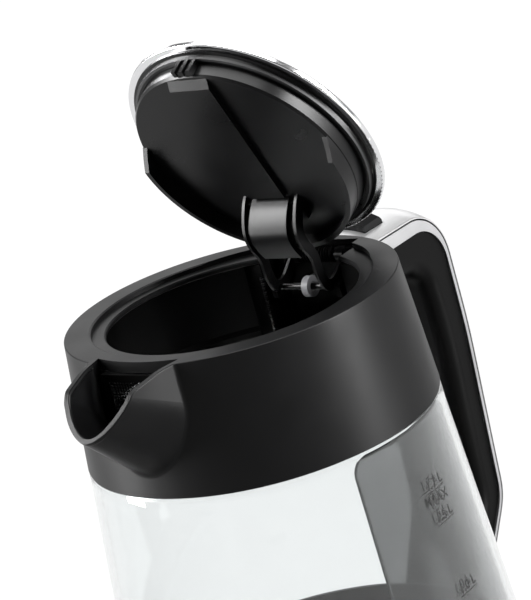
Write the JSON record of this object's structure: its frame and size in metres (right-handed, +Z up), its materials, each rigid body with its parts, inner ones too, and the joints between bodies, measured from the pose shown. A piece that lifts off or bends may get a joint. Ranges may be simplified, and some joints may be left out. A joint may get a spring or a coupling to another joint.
{
  "type": "electric kettle",
  "caption": "Tapered glass jug kettle with black collar and pouring spout, metal-faced loop handle, sprung lid on a gooseneck hinge, and a separate round power base.",
  "frame": {"origin": "centre of the plane that the power base's feet stand on, on the jug's axis", "axes": "+Z up; the spout points to -X, the handle to +X; Y across, symmetric about Y = 0"},
  "size_m": [0.2216, 0.1684, 0.3261],
  "materials": {
    "black_moulding": "matt",
    "black_gloss": "satin",
    "grey_plastic": "satin",
    "jug_glass": "polished",
    "panel_tint": "gloss",
    "chrome_trim": "polished",
    "handle_metal": "brushed",
    "handle_side": "satin",
    "steel": "brushed",
    "silicone": "matt",
    "grey_silicone": "matt",
    "brass": "plain"
  },
  "bodies": {
    "base": {"base_shell": "black_moulding", "base_plate": "black_moulding", "base_feet": "silicone", "base_connector": "black_gloss", "base_contacts": "brass", "base_screws": "steel", "base_cord_gland": "silicone"},
    "socket": {"connector_socket": "black_gloss", "socket_contacts": "brass"},
    "lid": {"lid_cap": "chrome_trim", "lid_rim_ring": "black_gloss", "lid_seal": "grey_silicone", "lid_bell": "black_gloss", "lid_band_cover": "black_gloss", "lid_hinge_arms": "black_gloss", "lid_screws": "steel", "hinge_cross_pin": "steel", "hinge_roller": "grey_plastic", "lid_snap_tooth": "black_gloss"},
    "button": {"lid_button": "black_gloss"},
    "switch": {"power_switch": "black_gloss"},
    "filter": {"filter_frame": "black_gloss", "filter_mesh": "steel"},
    "kettle": {"bottom_ring": "black_moulding", "heating_plate": "steel", "glass_seal": "silicone", "heating_element": "steel", "thermal_control": "black_gloss", "bimetal_disc": "steel", "bottom_cover": "black_moulding", "bottom_screws": "steel", "glass_jug": "jug_glass", "collar_gasket": "silicone", "level_panel": "panel_tint", "top_collar": "black_moulding", "collar_liner": "black_gloss", "handle_grip": "black_moulding", "handle_core": "black_moulding", "handle_frame": "handle_side", "handle_strap": "handle_metal", "steam_tube": "grey_silicone", "handle_screws": "steel", "button_spring": "steel", "switch_housing": "black_moulding", "switch_pin": "steel", "hinge_housing": "black_gloss", "hinge_pin": "steel", "hinge_bearings": "grey_plastic", "hinge_spring": "steel"}
  },
  "joints": [
    {"name": "kettle_lift", "type": "slide", "parent": "base", "child": "socket", "axis": [0, 0, 1], "range_m": [0, 0.08]},
    {"name": "kettle_spin", "type": "hinge", "parent": "socket", "child": "kettle", "pos_m": [0, 0, 0.03], "axis": [0, 0, 1], "continuous": true},
    {"name": "lid_hinge", "type": "hinge", "parent": "kettle", "child": "lid", "pos_m": [0.0591, 0, 0.2224], "axis": [0, 1, 0], "range_deg": [-62.06, 0], "stiffness_Nm_per_rad": 0.06, "springref_deg": 57.3},
    {"name": "lid_button_press", "type": "slide", "parent": "kettle", "child": "button", "axis": [0, 0, 1], "range_m": [-0.003, 0], "stiffness_N_per_m": 300, "springref_m": 0.004, "deforming": ["button_spring"]},
    {"name": "power_switch_tilt", "type": "hinge", "parent": "kettle", "child": "switch", "pos_m": [0.09, 0, 0.035], "axis": [0, 1, 0], "range_deg": [0, 12]},
    {"name": "filter_slide", "type": "slide", "parent": "kettle", "child": "filter", "axis": [1, 0, 0], "range_m": [0, 0.01]}
  ]
}
